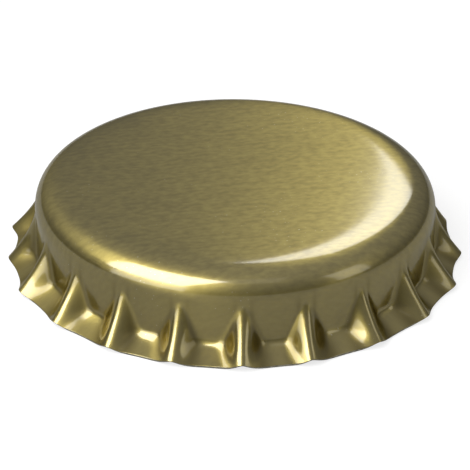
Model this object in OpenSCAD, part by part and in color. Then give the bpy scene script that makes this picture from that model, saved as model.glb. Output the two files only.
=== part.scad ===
// Crown bottle cap, before it is crimped on: a fluted sheet-metal shell with a sealing liner.
// The rim stands on z = 0, the panel faces up, and a tooth crest points along -Y.

/* [Shell] */
// Diameter over the tips of the teeth
rim_d = 32.1; // [30.5:0.1:35]
// Height from the rim to the top of the panel
height = 6; // [5:0.05:8]
// Outside diameter of the upright wall below the shoulder
wall_d = 28; // [26:0.1:29]
// Thickness of the metal sheet
sheet_t = 0.24; // [0.18:0.01:0.32]
// Outside radius of the shoulder between the panel and the wall
shoulder_r = 1.95; // [1.2:0.05:2.6]
// Height of the plain band between the shoulder and the flutes
band_h = 0.1; // [0.1:0.05:0.8]

/* [Teeth] */
// Number of teeth round the skirt
teeth = 21; // [15:1:27]
// Diameter over the valleys at the rim
valley_d = 31.1; // [29.6:0.1:31.6]
// Height of the tooth tips above the valleys at the rim
tip_lift = 0.24; // [0:0.02:0.8]
// How closely that lift gathers at the crests: 1 spreads it evenly over a tooth
lift_focus = 2; // [1:0.1:3]
// How late a crest flares on its way down: 1 is a straight line
crest_flare = 1.9; // [1.3:0.05:3]
// Height of the knee where a valley turns outwards
knee_h = 0.8; // [0.5:0.05:1.8]
// Rounding of the knee, as the height over which it fades to a third
knee_round = 0.12; // [0.06:0.02:0.5]
// Width of a tooth where the flutes begin, as a share of the pitch
root_width = 0.12; // [0.05:0.01:0.4]
// Width of a tooth at the rim, as a share of the pitch
tip_width = 0.84; // [0.5:0.02:1]
// Radius of the fold along a crest where the flutes begin
root_fold_r = 1.2; // [0.4:0.05:1.6]
// Radius of the fold along a crest at the rim
tip_fold_r = 0.5; // [0.35:0.05:1]
// Roundness of the corner between a tooth's flank and its valley
flank_round = 0.16; // [0.06:0.02:0.3]

/* [Liner] */
// Thickness of the film over the middle of the panel
film_t = 0.25; // [0.15:0.05:0.4]
// Thickness of the land between the two beads
land_t = 0.45; // [0.3:0.05:0.6]
// Height of the outer bead
outer_bead_h = 1.1; // [0.8:0.05:1.4]
// Height of the inner bead
inner_bead_h = 0.8; // [0.65:0.05:1.1]
// Diameter of the inner bead at the middle of its section
inner_bead_d = 19.2; // [17:0.1:21]

/* [Hidden] */

// Colours of the lacquered metal and of the liner
gold_lacquer = [0.53, 0.49, 0.32];
milky_liner = [0.87, 0.87, 0.82];

wall_r = wall_d / 2;
// The skirt's sheet lies this far outside the plain wall's, and the wall reaches this far down behind it,
// so the two make one solid with no thin sliver between them
seam = 0.01;
seam_h = 0.05;
skirt_r = wall_r + seam;
tip_r = rim_d / 2;
valley_r = valley_d / 2;
// Where the panel turns into the shoulder
panel_r = wall_r - shoulder_r;
// Height at which the flutes begin
flute_top = height - shoulder_r - band_h;
// How far a valley flares for each unit of its drop at the rim, and the height of its outer edge there:
// the edge is square to the sheet, so its inner corner is the one that stands on z = 0
rim_slope = (valley_r - skirt_r) / rounded_ramp(knee_h, knee_round);
valley_rim_z = sheet_t * rim_slope / sqrt(1 + rim_slope * rim_slope);
// Height of the panel's inner face, on which the liner lies
panel_inside = height - sheet_t;

// Fineness of the fluted skirt: columns round the axis, and bands from the flute top to the rim
wanted_columns = 336;
columns = teeth * round(wanted_columns / teeth);
bands = 7;
// Columns gather towards the crests, by this share of their even spacing
gathering = 0.5;
// This many bands lie above the knee, which starts at this way down
upper_bands = 5;
knee_way = 1 - knee_h / (flute_top - valley_rim_z);
// What turns a crest's radius and depth into a fold of the wave, and the least fold, where the flutes
// begin and have no depth yet
fold_scale = pow(teeth / wall_d, 2);
least_fold = 0.02;
// Small steps down the skirt and in degrees, for the slope of the sheet
slope_step = 0.001;
slope_turn = 0.01;
// Fineness of the round sections
section_fn = 96;

// Rises from nothing to u, with the corner at u = 0 rounded over a few times q
function rounded_ramp(u, q) = q * ln(1 + exp(u / q));

// Distance u from a crest, with the corner at u = 0 rounded by a fold
function rounded_distance(u, fold) = fold * ln((exp(u / fold) + exp(-u / fold)) / 2);

// Wave of the flutes: 1 on a crest and 0 in a valley, at a phase in degrees and a way s down the skirt
function wave(phase, s) =
    let (
        depth = norm(crest_line(s) - valley_line(s)),
        foot = sin(90 * (root_width + (tip_width - root_width) * s)),
        fold_r = root_fold_r + (tip_fold_r - root_fold_r) * s,
        fold = max(least_fold, fold_r * depth * fold_scale / foot),
        reach = rounded_distance(foot, fold),
        crest = rounded_ramp(1, flank_round),
        valley = rounded_ramp(1 - rounded_distance(1, fold) / reach, flank_round),
        here = rounded_ramp(1 - rounded_distance(sin(phase / 2), fold) / reach, flank_round)
    )
    max(0, here - valley) / (crest - valley);

// Line down a crest as [radius, height], where s runs from 0 at the flute top to 1 at the rim
function crest_line(s) = [
    skirt_r + (tip_r - skirt_r) * pow(s, crest_flare),
    flute_top + (valley_rim_z + tip_lift - flute_top) * s
];

// Line down a valley: upright to the knee, and then outwards to the rim
function valley_line(s) =
    let (above_rim = (flute_top - valley_rim_z) * (1 - s))
    [skirt_r + rim_slope * rounded_ramp(knee_h - above_rim, knee_round), valley_rim_z + above_rim];

// Point on the skirt's outer face, at a way s down and a turn in degrees from -Y
function outer_point(s, turn) =
    let (
        valley = valley_line(s),
        crest_share = wave(teeth * turn, s),
        lift_share = pow(crest_share, lift_focus) - crest_share,
        at = valley + crest_share * (crest_line(s) - valley) + [0, tip_lift * s * lift_share]
    )
    [at[0] * sin(turn), -at[0] * cos(turn), at[1]];

// Direction straight out of the sheet at that point
function outward(s, turn) =
    let (
        down = outer_point(min(s + slope_step, 1), turn) - outer_point(max(s - slope_step, 0), turn),
        along = outer_point(s, turn + slope_turn) - outer_point(s, turn - slope_turn),
        normal = cross(down, along)
    )
    normal / norm(normal);

// Point on the skirt's inner face, one sheet thickness behind the outer one
function inner_point(s, turn) = outer_point(s, turn) - sheet_t * outward(s, turn);

// Turn of a column, and way down of a band
function turn_of(column) =
    let (phase = 360 * teeth * column / columns)
    (phase - gathering * sin(phase) * 180 / PI) / teeth;
function way_of(band) =
    band <= upper_bands
    ? knee_way * band / upper_bands
    : knee_way + (1 - knee_way) * (band - upper_bands) / (bands - upper_bands);

// Rows of points from the flute top to the rim, first outside and then inside
outer_rows = [
    for (band = [0:bands], column = [0:columns - 1])
        outer_point(way_of(band), turn_of(column))
];
inner_rows = [
    for (band = [0:bands], column = [0:columns - 1])
        inner_point(way_of(band), turn_of(column))
];

// Two triangles across the quadrilateral a, b, c, d
function halves(a, b, c, d) = [[a, b, c], [a, c, d]];

// Section of the panel, shoulder and plain band, as thick as the sheet
module shell_section() {
    translate([0, panel_inside])
        square([panel_r, sheet_t]);
    translate([panel_r, height - shoulder_r])
        intersection() {
            difference() {
                circle(shoulder_r, $fn = section_fn);
                circle(shoulder_r - sheet_t, $fn = section_fn);
            }
            square(shoulder_r);
        }
    translate([wall_r - sheet_t, flute_top - seam_h])
        square([sheet_t, band_h + seam_h]);
}

// Fluted skirt, as one closed sheet from the plain band to the rim
module skirt() {
    inside = len(outer_rows);
    // A quadrilateral runs from a column to the next one, and from a band to the one below
    corner = function (side, band, column) side + band * columns + column % columns;
    walls = [
        for (band = [0:bands - 1], column = [0:columns - 1])
            let (
                a = corner(0, band, column),
                b = corner(0, band, column + 1),
                c = corner(0, band + 1, column + 1),
                d = corner(0, band + 1, column)
            )
            each concat(halves(a, b, c, d), halves(inside + a, inside + d, inside + c, inside + b))
    ];
    edges = [
        for (column = [0:columns - 1])
            let (
                a = corner(0, 0, column),
                b = corner(0, 0, column + 1),
                c = corner(0, bands, column + 1),
                d = corner(0, bands, column)
            )
            each concat(halves(b, a, inside + a, inside + b), halves(d, c, inside + c, inside + d))
    ];
    polyhedron(points = concat(outer_rows, inner_rows), faces = concat(walls, edges));
}

module crown_shell() {
    color(gold_lacquer) {
        rotate_extrude($fn = columns) shell_section();
        skirt();
    }
}

// Section of the liner, hung from the panel's inner face
module liner_section() {
    translate([0, panel_inside - film_t])
        square([panel_r, film_t]);
    translate([inner_bead_d / 2, panel_inside - land_t])
        square([panel_r - inner_bead_d / 2, land_t]);
    translate([inner_bead_d / 2, panel_inside - inner_bead_h / 2])
        circle(d = inner_bead_h, $fn = section_fn);
    translate([panel_r, panel_inside - outer_bead_h / 2])
        circle(d = outer_bead_h, $fn = section_fn);
}

module sealing_liner() {
    color(milky_liner)
        rotate_extrude($fn = columns) liner_section();
}

crown_shell();
sealing_liner();
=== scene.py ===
"""Looks of a bottle cap of the pry-off kind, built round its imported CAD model.

Everything is in metres and in the CAD frame: the rim stands on z = 0, the panel faces up, and the crest of
tooth 0 points along -Y. A turn is an angle round the axis from -Y towards +X, and a way runs down the
fluted skirt, from 0 where the flutes begin to 1 at the rim.
"""

import logging
import math
from dataclasses import dataclass, field
from enum import Enum

import bmesh
import bpy
from bmesh.types import BMesh, BMVert
from bpy.types import Material, Node, NodeSocket, Object, World
from mathutils import Matrix, Quaternion, Vector


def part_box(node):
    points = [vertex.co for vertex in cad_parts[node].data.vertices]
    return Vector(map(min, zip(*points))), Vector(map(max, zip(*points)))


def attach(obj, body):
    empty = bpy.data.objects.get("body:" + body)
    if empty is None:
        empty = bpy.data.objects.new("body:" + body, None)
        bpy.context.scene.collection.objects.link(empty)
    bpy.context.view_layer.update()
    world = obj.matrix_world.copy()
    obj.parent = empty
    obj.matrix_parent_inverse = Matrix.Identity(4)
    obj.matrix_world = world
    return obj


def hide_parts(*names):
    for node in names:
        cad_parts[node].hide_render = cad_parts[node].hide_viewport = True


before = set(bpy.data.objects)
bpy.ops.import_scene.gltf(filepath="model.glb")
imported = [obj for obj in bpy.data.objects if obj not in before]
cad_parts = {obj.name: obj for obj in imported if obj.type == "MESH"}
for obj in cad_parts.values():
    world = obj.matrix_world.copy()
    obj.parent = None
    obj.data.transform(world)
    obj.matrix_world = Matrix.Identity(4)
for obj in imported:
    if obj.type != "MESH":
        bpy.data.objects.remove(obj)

LOG = logging.getLogger("bottle_cap")
MM = 0.001
# Diameter of the flat blank that the shell is drawn from, and that its UV map covers
BLANK_D = 37.5 * MM
# Middle of the UV map, along both axes
BLANK_MIDDLE = 0.5
# The shell's UV map and vertex attributes
BLANK_MAP = "blank"
BLANK_PLACE = "on_blank"
# The flank share and the drawn share also mark where the colour is darkened as painted shade
FLANK_SHARE = "flank_share"
DRAWN_SHARE = "drawn_share"
# Vertices closer than this are one, and a way shorter than this is none
MERGE_DISTANCE = 1e-7
LEAST_WAY = 1e-6

Colour = tuple[float, float, float]
Span = tuple[float, float]

FULL: Span = (0.0, 1.0)
WHITE = (1.0, 1.0, 1.0, 1.0)


class SheetSide(Enum):
    """Sides of the metal sheet, in the order of the shell's material slots."""

    OUTSIDE = 0
    INSIDE = 1
    CUT_EDGE = 2


# ---------------------------------------------------------------- node graphs


class Graph:
    """Short-hand for building one node tree."""

    def __init__(self, owner: Material | World) -> None:
        """Empties the owner's node tree and adds its output.

        Args:
            owner: The material or world whose nodes are built.
        """
        owner.use_nodes = True
        self.tree = owner.node_tree
        self.tree.nodes.clear()
        kind = "ShaderNodeOutputWorld" if isinstance(owner, World) else "ShaderNodeOutputMaterial"
        self.output = self.add(kind)

    def add(self, kind: str, **settings: object) -> Node:
        """Adds a node.

        Args:
            kind: The node's Blender type.
            settings: Values for the node's own properties.

        Returns:
            The new node.
        """
        node = self.tree.nodes.new(kind)
        for name, value in settings.items():
            setattr(node, name, value)
        return node

    def feed(self, node: Node, **inputs: object) -> Node:
        """Sets or links a node's inputs by name, with underscores for spaces.

        Args:
            node: The node to feed.
            inputs: A value for each input, or the socket that is linked to it.

        Returns:
            The same node.
        """
        for name, value in inputs.items():
            socket = node.inputs[name.replace("_", " ")]
            if isinstance(value, NodeSocket):
                self.tree.links.new(value, socket)
            else:
                socket.default_value = value
        return node

    def attribute(self, name: str) -> NodeSocket:
        """Value of one of the mesh's own attributes."""
        return self.add("ShaderNodeAttribute", attribute_name=name).outputs["Fac"]

    def math(self, operation: str, *values: NodeSocket | float) -> NodeSocket:
        """Adds a Math node.

        Args:
            operation: The node's operation.
            values: Its values or sockets, in order.

        Returns:
            The node's output.
        """
        node = self.add("ShaderNodeMath", operation=operation)
        for socket, value in zip(node.inputs, values):
            if isinstance(value, NodeSocket):
                self.tree.links.new(value, socket)
            else:
                socket.default_value = value
        return node.outputs[0]

    def between(self, source: NodeSocket, levels: Span, onto: Span = FULL) -> NodeSocket:
        """Maps a stretch of values onto another one, and clamps what lies outside.

        Args:
            source: The value that is mapped.
            levels: The two source values that give the two results.
            onto: The two results.

        Returns:
            The mapped value.
        """
        low, high = levels
        first, second = onto
        node = self.add("ShaderNodeMapRange")
        self.feed(node, Value=source, From_Min=low, From_Max=high, To_Min=first, To_Max=second)
        return node.outputs["Result"]

    def weigh(self, share: float, first: NodeSocket, second: NodeSocket) -> NodeSocket:
        """Mean of two values, where the share is the weight of the first."""
        rest = self.math("MULTIPLY", second, 1.0 - share)
        return self.math("ADD", self.math("MULTIPLY", first, share), rest)

    def blend(self, share: NodeSocket, first: Colour | NodeSocket, second: Colour) -> NodeSocket:
        """Blends two colours.

        Args:
            share: The share of the second colour.
            first: The colour or socket at a share of 0.
            second: The colour at a share of 1.

        Returns:
            The blended colour.
        """
        node = self.add("ShaderNodeMix", data_type="RGBA")
        start, end = (socket for socket in node.inputs if socket.type == "RGBA")
        self.tree.links.new(share, node.inputs[0])
        if isinstance(first, NodeSocket):
            self.tree.links.new(first, start)
        else:
            start.default_value = (*first, 1.0)
        end.default_value = (*second, 1.0)
        return next(socket for socket in node.outputs if socket.type == "RGBA")

    def bump(self, height: NodeSocket, depth: float) -> NodeSocket:
        """Normal of the surface once a pattern raises it, up to a depth in metres."""
        node = self.add("ShaderNodeBump")
        return self.feed(node, Height=height, Strength=1.0, Distance=depth).outputs["Normal"]

    def grain(self, size: float, detail: float) -> NodeSocket:
        """Adds an even noise in the object's own space.

        Args:
            size: The size of its grains, in metres.
            detail: How many finer noises it holds.

        Returns:
            The noise, about 0.5 on average.
        """
        place = self.add("ShaderNodeTexCoord").outputs["Object"]
        node = self.add("ShaderNodeTexNoise")
        return self.feed(node, Vector=place, Scale=1 / size, Detail=detail).outputs["Fac"]

    def finish(self, shader: Node) -> None:
        """Links a shader to the output's surface."""
        self.tree.links.new(shader.outputs[0], self.output.inputs["Surface"])


# ------------------------------------------------------------------- finishes


@dataclass(frozen=True)
class Pattern:
    """A noise over the sheet's blank, sized in metres."""

    width: float
    length: float
    detail: float = 2.0
    roughness: float = 0.5
    distortion: float = 0.0
    seed: float = 0.0

    def value(self, graph: Graph) -> NodeSocket:
        """Adds the noise to a graph.

        Args:
            graph: The graph of the material.

        Returns:
            The noise, about 0.5 on average.
        """
        uv = graph.add("ShaderNodeUVMap", uv_map=BLANK_MAP)
        mapping = graph.add("ShaderNodeMapping")
        scale = (BLANK_D / self.length, BLANK_D / self.width, 1.0)
        graph.feed(mapping, Vector=uv.outputs["UV"], Scale=scale, Location=(self.seed, self.seed, 0.0))
        noise = graph.add("ShaderNodeTexNoise", noise_dimensions="2D")
        graph.feed(
            noise,
            Vector=mapping.outputs["Vector"],
            Scale=1.0,
            Detail=self.detail,
            Roughness=self.roughness,
            Distortion=self.distortion,
        )
        return noise.outputs["Fac"]


@dataclass(frozen=True)
class BrushedLacquer:
    """Tinplate brushed in one direction under a clear gold lacquer.

    The drawn share is 0 on the panel and 1 from the shoulder's lower end down, and the flank share is about 1
    low on the flanks of the teeth. Both darken the colour as painted shade, the flank share far more.
    """

    name: str = "brushed_gold_lacquer"

    # Colours of the dark and the bright streaks, of the painted shade on the flanks and of the nicks, and at
    # a glancing view
    shaded: Colour = (0.305, 0.244, 0.064)
    lit: Colour = (0.434, 0.350, 0.094)
    flank_shade: Colour = (0.210, 0.168, 0.052)
    bright: Colour = (0.80, 0.74, 0.52)
    edge_tint: Colour = (0.75, 0.70, 0.45)

    # Roughness of the metal, and how far and by which part of a turn it is stretched across the brushing
    gloss: Span = (0.285, 0.31)
    folded_gloss: float = 0.38
    anisotropy: float = 0.8
    stretch_turn: float = 0.25

    # Clear coat
    coat: float = 1.0
    drawn_coat: float = 0.9
    folded_coat: float = 0.4
    coat_ior: float = 1.9
    coat_roughness: float = 0.10

    # Depth of the grooves in the metal and in the coat over them
    groove_depth: float = 0.0030 * MM
    skin_depth: float = 0.0016 * MM

    # Patterns, and the share of the first in each mixture
    fine: Pattern = Pattern(width=0.34 * MM, length=0.65 * MM)
    broad: Pattern = Pattern(width=0.50 * MM, length=3.5 * MM, distortion=0.2, seed=3.7)
    clouds: Pattern = Pattern(width=5.0 * MM, length=6.0 * MM, seed=8.1)
    nicks: Pattern = Pattern(width=0.16 * MM, length=0.24 * MM, detail=1.0, seed=12.7)
    fine_share: float = 0.7
    grain_share: float = 0.85

    # Levels of the brushing at which a streak is dark and bright, their middle on the panel and, darker as
    # painted shade, where the sheet is drawn, and the share of the contrast that is left there
    tones: Span = (0.35, 0.65)
    middle_tone: float = 0.5
    drawn_shade_tone: float = 0.46
    drawn_grain: float = 0.3

    # Levels of the clouds between which the gloss changes and the nicks crowd, and of the nicks' own pattern
    gloss_clouds: Span = (0.35, 0.65)
    nick_clouds: Span = (0.42, 0.62)
    nick_crowding: Span = (0.9, 1.1)
    nick_levels: Span = (0.84, 0.90)
    nick_share: float = 0.6

    def colour(self, graph: Graph, grain: NodeSocket, clouds: NodeSocket) -> NodeSocket:
        """Colours the metal: streaked by the brushing, pale in the nicks, and darkened as painted shade, a
        little on the drawn sheet and much more on the flanks.

        Args:
            graph: The graph of the material.
            grain: The pattern of the brushing.
            clouds: The slow pattern over the whole sheet.

        Returns:
            The colour.
        """
        drawn = graph.attribute(DRAWN_SHARE)
        contrast = graph.between(drawn, FULL, (1.0, self.drawn_grain))
        # Painted shade: the drawn shoulder and skirt take a darker middle tone than the panel
        level = graph.between(drawn, FULL, (self.middle_tone, self.drawn_shade_tone))
        tone = graph.math("SUBTRACT", graph.weigh(self.grain_share, grain, clouds), self.middle_tone)
        tone = graph.math("MULTIPLY_ADD", tone, contrast, level)
        streaked = graph.blend(graph.between(tone, self.tones), self.shaded, self.lit)
        crowding = graph.between(clouds, self.nick_clouds, self.nick_crowding)
        nicked = graph.math("MULTIPLY", self.nicks.value(graph), crowding)
        nick = graph.between(nicked, self.nick_levels, (0.0, self.nick_share))
        even = graph.blend(nick, streaked, self.bright)
        # Painted shade: the flanks of the teeth are darkened towards the flank shade colour
        return graph.blend(graph.attribute(FLANK_SHARE), even, self.flank_shade)

    def roughness(self, graph: Graph, clouds: NodeSocket) -> NodeSocket:
        """Gives the metal its roughness: a little cloudy, and duller on the flanks.

        Args:
            graph: The graph of the material.
            clouds: The slow pattern over the whole sheet.

        Returns:
            The roughness.
        """
        cloudy = graph.between(clouds, self.gloss_clouds, self.gloss)
        added = graph.math("MULTIPLY", graph.attribute(FLANK_SHARE), self.folded_gloss - self.gloss[1])
        return graph.math("ADD", cloudy, added)

    def coat_weight(self, graph: Graph) -> NodeSocket:
        """Gives the clear coat its weight: a little less where the sheet is drawn, and least on the flanks.

        Args:
            graph: The graph of the material.

        Returns:
            The weight.
        """
        drawn = graph.between(graph.attribute(DRAWN_SHARE), FULL, (self.coat, self.drawn_coat))
        flank = graph.between(graph.attribute(FLANK_SHARE), FULL, (1.0, self.folded_coat))
        return graph.math("MULTIPLY", drawn, flank)

    def material(self) -> Material:
        """Builds the material.

        Returns:
            The finished material.
        """
        made = bpy.data.materials.new(self.name)
        graph = Graph(made)
        grain = graph.weigh(self.fine_share, self.fine.value(graph), self.broad.value(graph))
        clouds = self.clouds.value(graph)
        tangent = graph.add("ShaderNodeTangent", direction_type="UV_MAP", uv_map=BLANK_MAP)
        shader = graph.add("ShaderNodeBsdfPrincipled")
        graph.feed(
            shader,
            Base_Color=self.colour(graph, grain, clouds),
            Metallic=1.0,
            Roughness=self.roughness(graph, clouds),
            Specular_Tint=(*self.edge_tint, 1.0),
            Normal=graph.bump(grain, self.groove_depth),
            Anisotropic=self.anisotropy,
            Anisotropic_Rotation=self.stretch_turn,
            Tangent=tangent.outputs["Tangent"],
            Coat_Weight=self.coat_weight(graph),
            Coat_Roughness=self.coat_roughness,
            Coat_IOR=self.coat_ior,
            Coat_Normal=graph.bump(grain, self.skin_depth),
        )
        graph.finish(shader)
        return made


@dataclass(frozen=True)
class BareEdge:
    """Bright metal of the sheet's cut edge, with the fine marks of the punch across it."""

    name: str = "bare_cut_edge"
    shaded: Colour = (0.30, 0.28, 0.20)
    lit: Colour = (0.52, 0.49, 0.38)
    marks: Pattern = Pattern(width=0.25 * MM, length=0.25 * MM, seed=5.2)
    tones: Span = (0.35, 0.65)
    gloss_marks: Span = (0.3, 0.7)
    gloss: Span = (0.3, 0.5)

    def material(self) -> Material:
        """Builds the material.

        Returns:
            The finished material.
        """
        made = bpy.data.materials.new(self.name)
        graph = Graph(made)
        marks = self.marks.value(graph)
        colour = graph.blend(graph.between(marks, self.tones), self.shaded, self.lit)
        roughness = graph.between(marks, self.gloss_marks, self.gloss)
        shader = graph.add("ShaderNodeBsdfPrincipled")
        graph.feed(shader, Base_Color=colour, Metallic=1.0, Roughness=roughness)
        graph.finish(shader)
        return made


@dataclass(frozen=True)
class LinerCompound:
    """Soft milky compound, moulded in place, with the faint unevenness of its skin."""

    name: str = "milky_liner_compound"
    pale: Colour = (0.74, 0.74, 0.66)
    deep: Colour = (0.66, 0.66, 0.57)
    blotch: float = 3.0 * MM
    blotch_detail: float = 3.0
    skin: float = 0.45 * MM
    skin_detail: float = 2.0
    skin_depth: float = 0.006 * MM
    levels: Span = (0.3, 0.7)
    gloss: Span = (0.38, 0.52)
    milkiness: float = 0.25
    light_reach: float = 0.4 * MM
    colour_reach: Colour = (1.0, 0.9, 0.7)

    def material(self) -> Material:
        """Builds the material.

        Returns:
            The finished material.
        """
        made = bpy.data.materials.new(self.name)
        graph = Graph(made)
        blotches = graph.grain(self.blotch, self.blotch_detail)
        skin = graph.grain(self.skin, self.skin_detail)
        shader = graph.add("ShaderNodeBsdfPrincipled")
        graph.feed(
            shader,
            Base_Color=graph.blend(graph.between(blotches, self.levels), self.pale, self.deep),
            Roughness=graph.between(skin, self.levels, self.gloss),
            Normal=graph.bump(skin, self.skin_depth),
            Subsurface_Weight=self.milkiness,
            Subsurface_Radius=self.colour_reach,
            Subsurface_Scale=self.light_reach,
        )
        graph.finish(shader)
        return made


@dataclass(frozen=True)
class StudioPaper:
    """White paper of the floor, which keeps the shadow of what stands on it.

    The lift is the glow that makes it white where it is seen, and the mirrored lift is the one that metal
    mirrors.
    """

    name: str = "studio_paper"
    tone: float = 0.30
    lift: float = 0.76
    mirrored_lift: float = 0.06

    def material(self) -> Material:
        """Builds the material.

        Returns:
            The finished material.
        """
        made = bpy.data.materials.new(self.name)
        graph = Graph(made)
        paper = graph.add("ShaderNodeBsdfDiffuse")
        graph.feed(paper, Color=(self.tone, self.tone, self.tone, 1.0))
        path = graph.add("ShaderNodeLightPath").outputs
        seen = graph.math("MULTIPLY", path["Is Camera Ray"], self.lift)
        mirrored = graph.math("MAXIMUM", path["Is Glossy Ray"], path["Is Transmission Ray"])
        strength = graph.math("MULTIPLY_ADD", mirrored, self.mirrored_lift, seen)
        glow = graph.add("ShaderNodeEmission")
        graph.feed(glow, Color=WHITE, Strength=strength)
        both = graph.add("ShaderNodeAddShader")
        graph.tree.links.new(paper.outputs[0], both.inputs[0])
        graph.tree.links.new(glow.outputs[0], both.inputs[1])
        graph.finish(both)
        return made


# ---------------------------------------------------------------------- meshes


def object_of(mesh: BMesh, name: str, materials: list[Material]) -> Object:
    """Makes an object at the origin from a bmesh, and frees the bmesh.

    Args:
        mesh: The modelled bmesh.
        name: The object's name.
        materials: The materials, in the order of the faces' material indices.

    Returns:
        The new object, linked to the scene.
    """
    data = bpy.data.meshes.new(name)
    mesh.to_mesh(data)
    mesh.free()
    for material in materials:
        data.materials.append(material)
    made = bpy.data.objects.new(name, data)
    bpy.context.scene.collection.objects.link(made)
    return made


def drawn_to(mesh: BMesh, start: BMVert, end: Vector, parts: int = 1) -> BMVert:
    """Draws a straight stretch of a section from its last vertex.

    Args:
        mesh: The bmesh that holds the section.
        start: The section's last vertex.
        end: Where the stretch ends.
        parts: How many edges it has.

    Returns:
        The vertex at the end.
    """
    begin = start.co.copy()
    last = start
    for part in range(1, parts + 1):
        last = bmesh.ops.extrude_vert_indiv(mesh, verts=[last])["verts"][0]
        last.co = begin.lerp(end, part / parts)
    return last


def turned_to(mesh: BMesh, start: BMVert, centre: Vector, angle: float, steps: int) -> BMVert:
    """Draws a round stretch of a section from its last vertex, in the plane x = 0.

    Args:
        mesh: The bmesh that holds the section.
        start: The section's last vertex.
        centre: The middle of the arc.
        angle: How far the arc turns about +X.
        steps: How many edges it has.

    Returns:
        The vertex at the end.
    """
    swept = bmesh.ops.spin(mesh, geom=[start], cent=centre, axis=(1.0, 0.0, 0.0), angle=angle, steps=steps)
    return next(item for item in swept["geom_last"] if isinstance(item, BMVert))


def revolved(mesh: BMesh, columns: int) -> None:
    """Spins a section once round the axis, and closes it where it meets the axis.

    Args:
        mesh: The bmesh that holds the section alone.
        columns: How many columns of faces go round.
    """
    section = [*mesh.verts, *mesh.edges]
    bmesh.ops.spin(
        mesh,
        geom=section,
        cent=(0.0, 0.0, 0.0),
        axis=(0.0, 0.0, 1.0),
        angle=math.tau,
        steps=columns,
        use_merge=True,
    )
    bmesh.ops.remove_doubles(mesh, verts=mesh.verts, dist=MERGE_DISTANCE)
    bmesh.ops.recalc_face_normals(mesh, faces=mesh.faces)


# ----------------------------------------------------------------------- shell


@dataclass(frozen=True)
class ToothBend:
    """How a tooth differs from an even one at its tip: further out, higher, and turned aside."""

    reach: float = 0.0
    lift: float = 0.0
    turn: float = 0.0


@dataclass(frozen=True)
class Flutes:
    """Form of the fluted skirt: the CAD model's radii and heights, with an earlier flare and softer folds.

    A crest is a fold that tightens down the skirt, and a valley drops straight to a knee and turns outwards
    there. Widths are shares of the pitch of the teeth.
    """

    top: float
    root_r: float
    tip_r: float
    sheet_t: float
    teeth: int
    bends: dict[int, ToothBend]
    valley_r: float = 15.55 * MM
    tip_lift: float = 0.24 * MM
    lift_focus: float = 2.0
    crest_flare: float = 1.5
    knee_h: float = 0.8 * MM
    knee_round: float = 0.12 * MM
    root_width: float = 0.14
    tip_width: float = 0.74
    root_fold_r: float = 2.6 * MM
    tip_fold_r: float = 0.62 * MM
    least_fold: float = 0.02
    flank_round: float = 0.2
    gathering: float = 0.5
    reach_power: int = 2

    @staticmethod
    def rounded_ramp(value: float, fade: float) -> float:
        """Rises from nothing to a value, with its corner rounded over a few times a fade."""
        return fade * math.log1p(math.exp(value / fade))

    @staticmethod
    def rounded_distance(value: float, fold: float) -> float:
        """Distance from a crest, with the corner at the crest rounded by a fold."""
        return fold * math.log(math.cosh(value / fold))

    @property
    def rim_slope(self) -> float:
        """How far a valley flares for each unit of its drop at the rim."""
        return (self.valley_r - self.root_r) / self.rounded_ramp(self.knee_h, self.knee_round)

    @property
    def valley_rim_z(self) -> float:
        """Height of a valley's outer edge at the rim, where its inner edge stands on the floor."""
        return self.sheet_t * self.rim_slope / math.hypot(1.0, self.rim_slope)

    def gathered(self, turn: float) -> float:
        """Turn of a column once the columns have gathered towards the crests."""
        phase = self.teeth * turn
        return (phase - self.gathering * math.sin(phase)) / self.teeth

    def wave(self, turn: float, way: float) -> float:
        """Gives the height of the wave of the flutes.

        Args:
            turn: The turn round the axis, in radians.
            way: The way down the skirt.

        Returns:
            The height, 1 on a crest and 0 in a valley.
        """
        depth = (self.crest_line(way) - self.valley_line(way)).length
        foot = math.sin(math.pi / 2 * (self.root_width + (self.tip_width - self.root_width) * way))
        fold_r = self.root_fold_r + (self.tip_fold_r - self.root_fold_r) * way
        fold = max(self.least_fold, fold_r * depth * (self.teeth / (2 * self.root_r)) ** 2 / foot)
        reach = self.rounded_distance(foot, fold)
        crest = self.rounded_ramp(1.0, self.flank_round)
        valley = self.rounded_ramp(1.0 - self.rounded_distance(1.0, fold) / reach, self.flank_round)
        distance = self.rounded_distance(math.sin(self.teeth * turn / 2), fold)
        here = self.rounded_ramp(1.0 - distance / reach, self.flank_round)
        return max(here - valley, 0.0) / (crest - valley)

    def crest_line(self, way: float) -> Vector:
        """Radius and height on a crest."""
        radius = self.root_r + (self.tip_r - self.root_r) * way**self.crest_flare
        return Vector((radius, self.top + (self.valley_rim_z + self.tip_lift - self.top) * way))

    def valley_line(self, way: float) -> Vector:
        """Gives the line down a valley: upright to the knee, and then outwards.

        Args:
            way: The way down the skirt.

        Returns:
            The radius and the height.
        """
        above_rim = (self.top - self.valley_rim_z) * (1.0 - way)
        radius = self.root_r + self.rim_slope * self.rounded_ramp(self.knee_h - above_rim, self.knee_round)
        return Vector((radius, self.valley_rim_z + above_rim))

    def point(self, way: float, turn: float) -> Vector:
        """Gives a point of the skirt's outer face.

        Args:
            way: The way down the skirt.
            turn: The turn round the axis, in radians.

        Returns:
            The point.
        """
        wave = self.wave(turn, way)
        lift = wave**self.lift_focus
        radius, height = self.valley_line(way).lerp(self.crest_line(way), wave)
        height += self.tip_lift * way * (lift - wave)
        tooth = round(turn * self.teeth / math.tau)
        bend = self.bends.get(tooth, ToothBend())
        radius += bend.reach * wave * way**self.reach_power
        height += bend.lift * lift * way
        turn += bend.turn * wave * way
        return Vector((radius * math.sin(turn), -radius * math.cos(turn), height))


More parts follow.
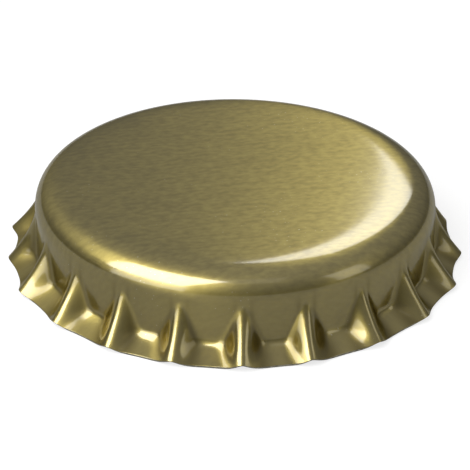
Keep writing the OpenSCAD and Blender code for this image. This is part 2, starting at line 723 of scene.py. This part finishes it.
def handled_teeth() -> dict[int, ToothBend]:
    """Gives the teeth that were bent a little in handling.

    Returns:
        How each is bent, by its place from the front towards +X.
    """
    return {
        -10: ToothBend(reach=-0.03 * MM),
        -6: ToothBend(reach=0.25 * MM, lift=-0.10 * MM, turn=math.radians(1.0)),
        -5: ToothBend(reach=-0.03 * MM, lift=-0.20 * MM, turn=math.radians(-0.6)),
        -4: ToothBend(reach=0.08 * MM, lift=0.02 * MM, turn=math.radians(0.5)),
        -3: ToothBend(reach=0.06 * MM, lift=0.08 * MM, turn=math.radians(0.8)),
        -2: ToothBend(lift=0.06 * MM, turn=math.radians(0.6)),
        -1: ToothBend(reach=-0.10 * MM, lift=0.06 * MM, turn=math.radians(-0.1)),
        0: ToothBend(reach=-0.03 * MM, lift=0.17 * MM, turn=math.radians(-0.5)),
        1: ToothBend(lift=0.16 * MM, turn=math.radians(-1.0)),
        2: ToothBend(reach=0.02 * MM, lift=0.10 * MM),
        3: ToothBend(reach=0.02 * MM, lift=-0.03 * MM, turn=math.radians(0.2)),
        4: ToothBend(reach=0.06 * MM, lift=-0.08 * MM, turn=math.radians(0.2)),
        5: ToothBend(lift=-0.11 * MM, turn=math.radians(-0.5)),
        6: ToothBend(reach=-0.22 * MM, turn=math.radians(-0.8)),
        10: ToothBend(reach=-0.03 * MM),
    }


@dataclass
class CrownShell:
    """Stamped sheet-metal shell: panel, shoulder, plain band and fluted skirt, in one sheet.

    The panel eases into the shoulder from easing_r outwards, on a curve whose easing_power is 2 for an
    ellipse and more for a squarer one. The flank share starts fold_reach above the flutes.
    """

    rim_d: float = 32.1 * MM
    wall_d: float = 28.0 * MM
    sheet_t: float = 0.24 * MM
    shoulder_r: float = 1.95 * MM
    band_h: float = 0.1 * MM
    teeth: int = 21
    easing_r: float = 9.5 * MM
    easing_power: float = 4.8
    edge_round: float = 0.03 * MM
    edge_segments: int = 2
    sharp_angle: float = math.radians(15.0)
    grain_angle: float = math.radians(10.0)
    fold_reach: float = 0.25
    fold_growth: float = 1.2
    fold_scale: float = 9.5
    fold_skew: int = 3
    panel_rings: int = 9
    shoulder_steps: int = 26
    shoulder_gathering: float = 1.6
    skirt_rows: int = 26
    columns_per_tooth: int = 36
    bends: dict[int, ToothBend] = field(default_factory=handled_teeth)
    outside: BrushedLacquer = BrushedLacquer()
    cut_edge: BareEdge = BareEdge()
    height: float = field(init=False)
    wall_r: float = field(init=False)
    panel_r: float = field(init=False)
    flute_top: float = field(init=False)
    flutes: Flutes = field(init=False)

    def __post_init__(self) -> None:
        """Works out the heights and the flutes from the CAD node's box."""
        lowest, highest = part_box("crown_shell")
        self.height = highest.z - lowest.z
        self.wall_r = self.wall_d / 2
        self.panel_r = self.wall_r - self.shoulder_r
        self.flute_top = self.height - self.shoulder_r - self.band_h
        self.flutes = Flutes(
            top=self.flute_top,
            root_r=self.wall_r,
            tip_r=self.rim_d / 2,
            sheet_t=self.sheet_t,
            teeth=self.teeth,
            bends=self.bends,
        )

    def section(self, mesh: BMesh) -> None:
        """Draws the outer line of the sheet before its flutes are pressed, from the axis to the rim.

        Args:
            mesh: The empty bmesh that gets the section.
        """
        centre = mesh.verts.new((0.0, 0.0, self.height))
        last = drawn_to(mesh, centre, Vector((0.0, -self.easing_r, self.height)), self.panel_rings)
        for step in range(1, self.shoulder_steps + 1):
            angle = math.pi / 2 * (step / self.shoulder_steps) ** self.shoulder_gathering
            eased = math.sin(angle) ** (2 / self.easing_power)
            radius = self.easing_r + (self.wall_r - self.easing_r) * eased
            drop = self.shoulder_r * (1.0 - math.cos(angle))
            last = drawn_to(mesh, last, Vector((0.0, -radius, self.height - drop)))
        band_end = drawn_to(mesh, last, Vector((0.0, -self.wall_r, self.flute_top)))
        drawn_to(mesh, band_end, Vector((0.0, -self.wall_r, 0.0)), self.skirt_rows)

    def place_on_blank(self, point: Vector) -> Vector:
        """Finds where a point of the round shell lay on the flat blank that it is drawn from.

        Args:
            point: A point of the outer face, before the flutes are pressed.

        Returns:
            The place on the blank, turned so that its x axis runs along the brushing.
        """
        radius = math.hypot(point.x, point.y)
        stretch = 1.0
        if point.z < self.height - self.shoulder_r:
            drop = self.height - self.shoulder_r - point.z
            stretch = (self.panel_r + self.shoulder_r * math.pi / 2 + drop) / radius
        elif radius > self.panel_r:
            angle = math.asin(min((radius - self.panel_r) / self.shoulder_r, 1.0))
            stretch = (self.panel_r + self.shoulder_r * angle) / radius
        flat = Vector((point.x, point.y, 0.0)) * stretch
        return Matrix.Rotation(-self.grain_angle, 3, "Z") @ flat

    def flank_share(self, point: Vector) -> float:
        """Finds how far a point comes to lie on a flank, where the colour is darkened as painted shade and
        the lacquer is duller.

        Args:
            point: A point of the outer face, before the flutes are pressed.

        Returns:
            The share, about 1 low on a flank near the rim, and 0 on crests and in valleys.
        """
        way = (self.flute_top - point.z) / self.flute_top
        growth = min(max((way + self.fold_reach) * self.fold_growth, 0.0), 1.0)
        if growth == 0.0:
            return 0.0
        wave = self.flutes.wave(math.atan2(point.x, -point.y), min(max(way, self.fold_reach), 1.0))
        return self.fold_scale * wave * (1.0 - wave) ** self.fold_skew * growth

    def gather_columns(self, mesh: BMesh) -> None:
        """Turns the sheet's columns a little about the axis, so that more of them lie on the crests.

        Args:
            mesh: The revolved sheet.
        """
        for vert in mesh.verts:
            turn = math.atan2(vert.co.x, -vert.co.y)
            vert.co = Matrix.Rotation(self.flutes.gathered(turn) - turn, 3, "Z") @ vert.co

    def press_flutes(self, mesh: BMesh) -> None:
        """Moves the skirt's vertices from the plain cylinder onto the flutes.

        Args:
            mesh: The revolved sheet.
        """
        for vert in mesh.verts:
            way = (self.flute_top - vert.co.z) / self.flute_top
            if way > LEAST_WAY:
                vert.co = self.flutes.point(min(way, 1.0), math.atan2(vert.co.x, -vert.co.y))

    def build(self) -> Object:
        """Models and dresses the shell.

        Returns:
            The finished object.
        """
        mesh = bmesh.new()
        blank = mesh.verts.layers.float_vector.new(BLANK_PLACE)
        flank = mesh.verts.layers.float.new(FLANK_SHARE)
        drawn = mesh.verts.layers.float.new(DRAWN_SHARE)
        self.section(mesh)
        revolved(mesh, self.columns_per_tooth * self.teeth)
        self.gather_columns(mesh)
        for vert in mesh.verts:
            vert[blank] = self.place_on_blank(vert.co)
            vert[flank] = self.flank_share(vert.co)
            vert[drawn] = min((self.height - vert.co.z) / self.shoulder_r, 1.0)
        self.press_flutes(mesh)
        self.thicken(mesh)
        self.unwrap(mesh)
        for face in mesh.faces:
            face.smooth = True
        dress = self.outside.material()
        made = object_of(mesh, "pressed_shell", [dress, dress, self.cut_edge.material()])
        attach(made, "root")
        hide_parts("crown_shell")
        return made

    def thicken(self, mesh: BMesh) -> None:
        """Gives the sheet its thickness, and rounds the two arrises of its cut edge.

        Args:
            mesh: The pressed outer face.
        """
        mesh.normal_update()
        outside = set(mesh.faces)
        bmesh.ops.solidify(mesh, geom=list(outside), thickness=self.sheet_t)
        rim = {vert for vert in mesh.verts if any(face in outside for face in vert.link_faces)}
        for face in mesh.faces:
            outer_verts = sum(vert in rim for vert in face.verts)
            side = SheetSide.CUT_EDGE if 0 < outer_verts < len(face.verts) else SheetSide.INSIDE
            face.material_index = (SheetSide.OUTSIDE if face in outside else side).value
        arrises = [
            edge
            for edge in mesh.edges
            if {SheetSide.CUT_EDGE.value} < {face.material_index for face in edge.link_faces}
        ]
        rounded = bmesh.ops.bevel(
            mesh,
            geom=arrises,
            offset=self.edge_round,
            offset_type="OFFSET",
            segments=self.edge_segments,
            profile=0.5,
            affect="EDGES",
            material=-1,
        )
        mesh.normal_update()
        for edge in rounded["edges"]:
            edge.smooth = edge.calc_face_angle(0.0) < self.sharp_angle

    def unwrap(self, mesh: BMesh) -> None:
        """Lays the UV map over the blank, so that the brushing follows the drawn sheet.

        Args:
            mesh: The finished sheet.
        """
        blank = mesh.verts.layers.float_vector[BLANK_PLACE]
        uv = mesh.loops.layers.uv.new(BLANK_MAP)
        for face in mesh.faces:
            for loop in face.loops:
                place = loop.vert[blank] / BLANK_D
                loop[uv].uv = (place.x + BLANK_MIDDLE, place.y + BLANK_MIDDLE)


# ----------------------------------------------------------------------- liner


@dataclass
class SealingLiner:
    """Liner moulded inside the panel: a film, a land, and two beads that seal on a bottle's lip."""

    film_t: float = 0.25 * MM
    land_t: float = 0.45 * MM
    outer_bead_h: float = 1.1 * MM
    inner_bead_h: float = 0.8 * MM
    inner_bead_d: float = 19.2 * MM
    film_rings: int = 8
    inner_bead_steps: int = 16
    land_rings: int = 2
    outer_bead_steps: int = 24
    top_rings: int = 4
    columns: int = 252
    finish: LinerCompound = LinerCompound()

    def build(self) -> Object:
        """Models and dresses the liner.

        Returns:
            The finished object.
        """
        _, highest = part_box("sealing_liner")
        top = highest.z
        mesh = bmesh.new()
        self.section(mesh, top, highest.x - self.outer_bead_h / 2)
        revolved(mesh, self.columns)
        for face in mesh.faces:
            face.smooth = True
        made = object_of(mesh, "moulded_liner", [self.finish.material()])
        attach(made, "root")
        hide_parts("sealing_liner")
        return made

    def section(self, mesh: BMesh, top: float, outer_r: float) -> None:
        """Draws the liner's section, from the axis out along its lower face and back along its top.

        Args:
            mesh: The empty bmesh that gets the section.
            top: Height of the panel's inner face.
            outer_r: Radius of the outer bead's middle line.
        """
        inner_r = self.inner_bead_d / 2
        inner_middle = Vector((0.0, -inner_r, top - self.inner_bead_h / 2))
        outer_middle = Vector((0.0, -outer_r, top - self.outer_bead_h / 2))
        film_z = top - self.film_t
        land_z = top - self.land_t
        film_drop = film_z - inner_middle.z
        land_drop = land_z - inner_middle.z
        outer_drop = land_z - outer_middle.z
        inner_radius = self.inner_bead_h / 2
        outer_radius = self.outer_bead_h / 2
        film_half = math.sqrt(inner_radius**2 - film_drop**2)
        outer_half = math.sqrt(outer_radius**2 - outer_drop**2)
        at = mesh.verts.new((0.0, 0.0, film_z))
        at = drawn_to(mesh, at, Vector((0.0, -(inner_r - film_half), film_z)), self.film_rings)
        sweep = math.pi + math.asin(film_drop / inner_radius) + math.asin(land_drop / inner_radius)
        at = turned_to(mesh, at, inner_middle, -sweep, self.inner_bead_steps)
        at = drawn_to(mesh, at, Vector((0.0, -(outer_r - outer_half), land_z)), self.land_rings)
        sweep = math.pi + math.asin(outer_drop / outer_radius) + math.pi / 2
        at = turned_to(mesh, at, outer_middle, -sweep, self.outer_bead_steps)
        drawn_to(mesh, at, Vector((0.0, 0.0, top)), self.top_rings)


# ---------------------------------------------------------------------- studio


@dataclass(frozen=True)
class Softbox:
    """Rectangular lamp that faces the cap, with its turn, elevation and lean in degrees."""

    name: str
    turn: float
    elevation: float
    size: tuple[float, float]
    radiance: float
    distance: float = 0.6
    lean: float = 0.0

    def place(self) -> None:
        """Adds the lamp, turned to the middle of the cap."""
        width, height = self.size
        light = bpy.data.lights.new(self.name, "AREA")
        light.shape = "RECTANGLE"
        light.size = width
        light.size_y = height
        light.energy = self.radiance * math.pi * width * height
        lamp = bpy.data.objects.new(self.name, light)
        turn, rise = math.radians(self.turn), math.radians(self.elevation)
        away = Vector((math.sin(turn) * math.cos(rise), -math.cos(turn) * math.cos(rise), math.sin(rise)))
        lamp.location = away * self.distance
        lamp.rotation_mode = "QUATERNION"
        lean = Quaternion((0.0, 0.0, 1.0), math.radians(self.lean))
        lamp.rotation_quaternion = away.to_track_quat("Z", "Y") @ lean
        bpy.context.scene.collection.objects.link(lamp)


@dataclass(frozen=True)
class Viewpoint:
    """Camera that is aimed at the cap's axis, and then tilted and rolled a little."""

    turn: float = math.radians(-2.34)
    elevation: float = math.radians(29.77)
    distance: float = 145.65 * MM
    aim_height: float = 3.0 * MM
    tilt: float = math.radians(-0.607)
    roll: float = math.radians(0.429)
    lens: float = 156.85
    sensor: float = 36.0
    nearest: float = 10.0 * MM

    def place(self) -> Object:
        """Adds the camera and makes it the scene's.

        Returns:
            The camera object.
        """
        data = bpy.data.cameras.new("camera")
        data.lens = self.lens
        data.sensor_width = self.sensor
        data.clip_start = self.nearest
        camera = bpy.data.objects.new("camera", data)
        level = math.cos(self.elevation)
        away = Vector((math.sin(self.turn) * level, -math.cos(self.turn) * level, math.sin(self.elevation)))
        place = away * self.distance
        towards = (Vector((0.0, 0.0, self.aim_height)) - place).to_track_quat("-Z", "Y").to_matrix()
        aside = Matrix.Rotation(self.tilt, 3, "X") @ Matrix.Rotation(self.roll, 3, "Z")
        camera.rotation_mode = "QUATERNION"
        camera.rotation_quaternion = (towards @ aside).to_quaternion()
        camera.location = place
        bpy.context.scene.collection.objects.link(camera)
        bpy.context.scene.camera = camera
        return camera


def softboxes() -> tuple[Softbox, ...]:
    """Gives the studio's lamps.

    Returns:
        The key light, its low fill, the back light, and the fills from the side and from overhead.
    """
    key = Softbox("front_left_softbox", turn=-54.0, elevation=47.0, size=(0.50, 0.48), radiance=5.2)
    low = Softbox("front_left_low_fill", turn=-50.0, elevation=14.0, size=(0.46, 0.22), radiance=2.0)
    back = Softbox(
        "back_right_softbox", turn=167.1, elevation=36.9, size=(0.12, 0.215), radiance=3.15, lean=-10.0
    )
    side = Softbox("front_right_fill", turn=64.0, elevation=22.0, size=(0.22, 0.34), radiance=0.8)
    overhead = Softbox("overhead_fill", turn=0.0, elevation=62.0, size=(0.40, 0.22), radiance=0.22)
    return key, low, back, side, overhead


@dataclass
class Studio:
    """Floor, lamps, camera, and surroundings whose strength rises from the horizon to the zenith."""

    floor_size: float = 3.0
    floor_cells: int = 4
    horizon: float = 0.1
    zenith: float = 0.46
    paper: StudioPaper = StudioPaper()
    viewpoint: Viewpoint = Viewpoint()
    lamps: tuple[Softbox, ...] = field(default_factory=softboxes)

    def build(self) -> None:
        """Sets the whole studio up."""
        self.lay_floor()
        self.surround()
        for lamp in self.lamps:
            lamp.place()
        self.viewpoint.place()
        bpy.context.scene.view_settings.view_transform = "Standard"

    def lay_floor(self) -> None:
        """Lays the floor that the cap stands on."""
        mesh = bmesh.new()
        cells = self.floor_cells
        bmesh.ops.create_grid(mesh, x_segments=cells, y_segments=cells, size=self.floor_size / 2)
        floor = object_of(mesh, "studio_floor", [self.paper.material()])

    def surround(self) -> None:
        """Makes the surroundings a soft grey that pales towards the top, and white where they are seen."""
        world = bpy.data.worlds.new("studio")
        bpy.context.scene.world = world
        graph = Graph(world)
        place = graph.add("ShaderNodeTexCoord").outputs["Generated"]
        rise = graph.feed(graph.add("ShaderNodeSeparateXYZ"), Vector=place).outputs["Z"]
        grey = graph.between(rise, FULL, (self.horizon, self.zenith))
        seen = graph.add("ShaderNodeLightPath").outputs["Is Camera Ray"]
        sky = graph.add("ShaderNodeBackground")
        graph.feed(sky, Color=WHITE, Strength=graph.math("MAXIMUM", grey, seen))
        graph.finish(sky)


# ------------------------------------------------------------------------ main


def main() -> None:
    """Builds the cap's pieces and the studio, in order."""
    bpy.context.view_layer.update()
    for maker in (CrownShell(), SealingLiner()):
        piece = maker.build()
        LOG.info("%s: %d faces", piece.name, len(piece.data.polygons))
    Studio().build()


if __name__ == "__main__":
    logging.basicConfig(level=logging.INFO, format="%(name)s: %(message)s")
    main()
